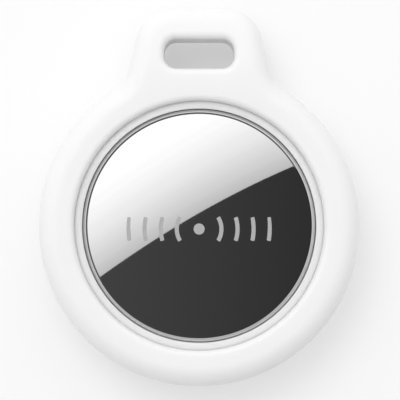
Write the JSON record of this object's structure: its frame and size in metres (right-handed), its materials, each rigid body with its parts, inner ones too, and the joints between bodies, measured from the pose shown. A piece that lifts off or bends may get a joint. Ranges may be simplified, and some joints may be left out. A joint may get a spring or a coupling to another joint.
{
  "type": "wireless tracker tag in a twist-lock holder",
  "caption": "Round coin-cell locator tag with a polished steel battery cover, held in a white two-part twist-lock ring case with a strap loop.",
  "frame": {"origin": "on the tag's round axis, in the plane of the holder's rear rim, on which it lies", "axes": "+Z out of the polished battery cover, +Y towards the strap loop, +X to the right as seen with the cover facing the viewer and the loop up"},
  "size_m": [0.036, 0.0425, 0.0097],
  "materials": {
    "holder_plastic": "fine matte, white",
    "shell_plastic": "glossy white",
    "cover_steel": "mirror polished stainless steel",
    "lock_plastic": "moulded, natural",
    "seal_rubber": "soft, black",
    "cell_steel": "nickel-plated steel",
    "cell_grommet_plastic": "translucent natural",
    "cathode_powder": "pressed black powder",
    "lithium_metal": "dull soft metal",
    "separator_paper": "fibre sheet",
    "tray_plastic": "moulded, off-white",
    "contact_metal": "plated spring steel",
    "magnet_plating": "nickel plated",
    "yoke_steel": "plated mild steel",
    "coil_copper": "enamelled copper wire",
    "board_laminate": "solder mask over glass laminate",
    "chip_package": "black moulding compound",
    "module_shield": "tinned shield can",
    "crystal_lid": "plated lid",
    "capacitor_ceramic": "ceramic",
    "inductor_ferrite": "ferrite",
    "pad_gold": "gold plated",
    "antenna_metal": "laser-plated copper and gold",
    "adhesive": "thin foam tape"
  },
  "bodies": {
    "rear_case": {"rear_shell": "holder_plastic"},
    "front_case": {"front_shell": "holder_plastic"},
    "tag": {"tag_shell": "shell_plastic", "adhesive_ring": "adhesive", "battery_tray": "tray_plastic", "negative_contact": "contact_metal", "positive_contacts": "contact_metal", "pole_plate": "yoke_steel", "speaker_magnet": "magnet_plating", "magnet_yoke": "yoke_steel", "voice_coil": "coil_copper", "coil_leads": "coil_copper", "circuit_board": "board_laminate", "radio_chip": "chip_package", "ultra_wideband_module": "module_shield", "flash_memory": "chip_package", "accelerometer": "chip_package", "audio_amplifier": "chip_package", "power_regulator": "chip_package", "timing_crystals": "crystal_lid", "power_inductors": "inductor_ferrite", "ceramic_capacitors": "capacitor_ceramic", "test_pads": "pad_gold", "antenna_loop": "coil_copper", "radio_antenna": "antenna_metal", "ultra_wideband_antenna": "antenna_metal"},
    "cell": {"cell_can": "cell_steel", "cell_cap": "cell_steel", "cell_grommet": "cell_grommet_plastic", "cell_lithium": "lithium_metal", "cell_separator": "separator_paper", "cell_cathode": "cathode_powder"},
    "cover": {"battery_cover": "cover_steel", "cover_lock_ring": "lock_plastic", "cover_seal": "seal_rubber"}
  },
  "joints": [
    {"name": "holder_twist", "type": "hinge", "parent": "rear_case", "child": "front_case", "pos_m": [0, 0, 0.0053], "axis": [0, 0, 1], "range_deg": [0, 30]},
    {"name": "tag_turn", "type": "hinge", "parent": "rear_case", "child": "tag", "pos_m": [0, 0, 0.0053], "axis": [0, 0, 1], "continuous": true},
    {"name": "cover_press", "type": "slide", "parent": "tag", "child": "cell", "axis": [0, 0, 1], "range_m": [-0.0003, 0], "stiffness_N_per_m": 1000, "springref_m": 0.0002, "deforming": ["negative_contact"]},
    {"name": "cover_twist", "type": "hinge", "parent": "cell", "child": "cover", "pos_m": [0, 0, 0.009], "axis": [0, 0, 1], "range_deg": [0, 20]}
  ]
}
